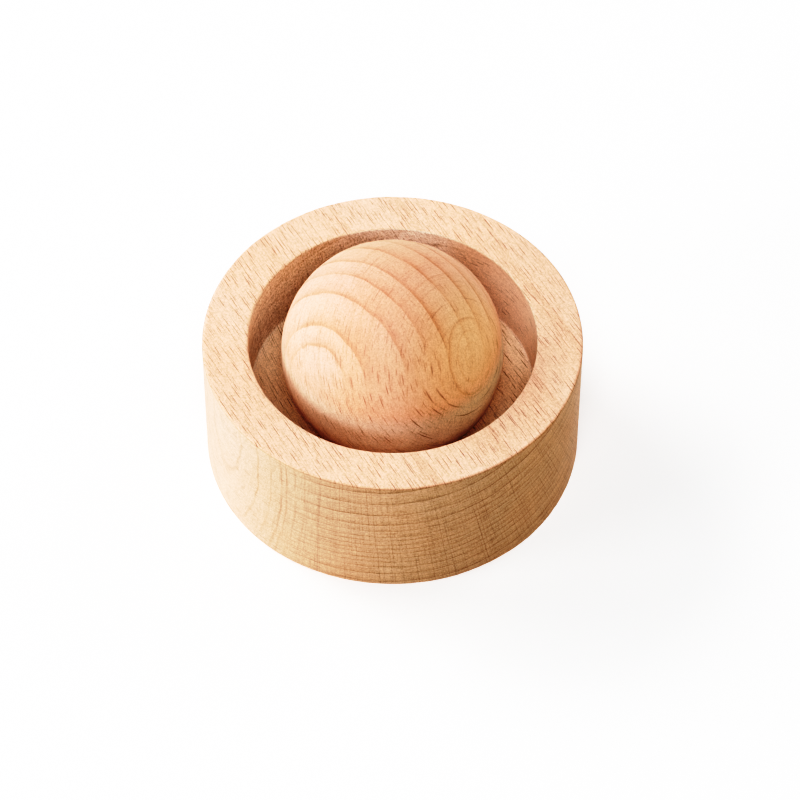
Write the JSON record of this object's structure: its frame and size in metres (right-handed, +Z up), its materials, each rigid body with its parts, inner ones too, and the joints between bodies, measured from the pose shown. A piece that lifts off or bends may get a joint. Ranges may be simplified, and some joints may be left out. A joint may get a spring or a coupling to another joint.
{
  "type": "case opening friction ball",
  "caption": "Solid turned beech ball resting loose in the dished seat of a plain round beech cup, and lifting straight out of it.",
  "frame": {"origin": "centre of the cup's flat underside, where the object stands", "axes": "+Z up along the turning axis of the cup and through the middle of the ball; X and Y lie in the underside, and +Y is away from the viewer"},
  "size_m": [0.048, 0.048, 0.0315],
  "materials": {
    "cup_beech": "bare turned and sanded beech, unfinished, matte, with short dark ray flecks on the rim and growth rings on the side",
    "ball_beech": "bare turned and sanded beech, unfinished, matte, with curved growth rings"
  },
  "bodies": {
    "cup": {"base_cup": "cup_beech"},
    "ball": {"ball": "ball_beech"}
  },
  "joints": [
    {"name": "ball_lift", "type": "slide", "parent": "cup", "child": "ball", "axis": [0, 0, 1], "range_m": [0, 0.03]}
  ]
}
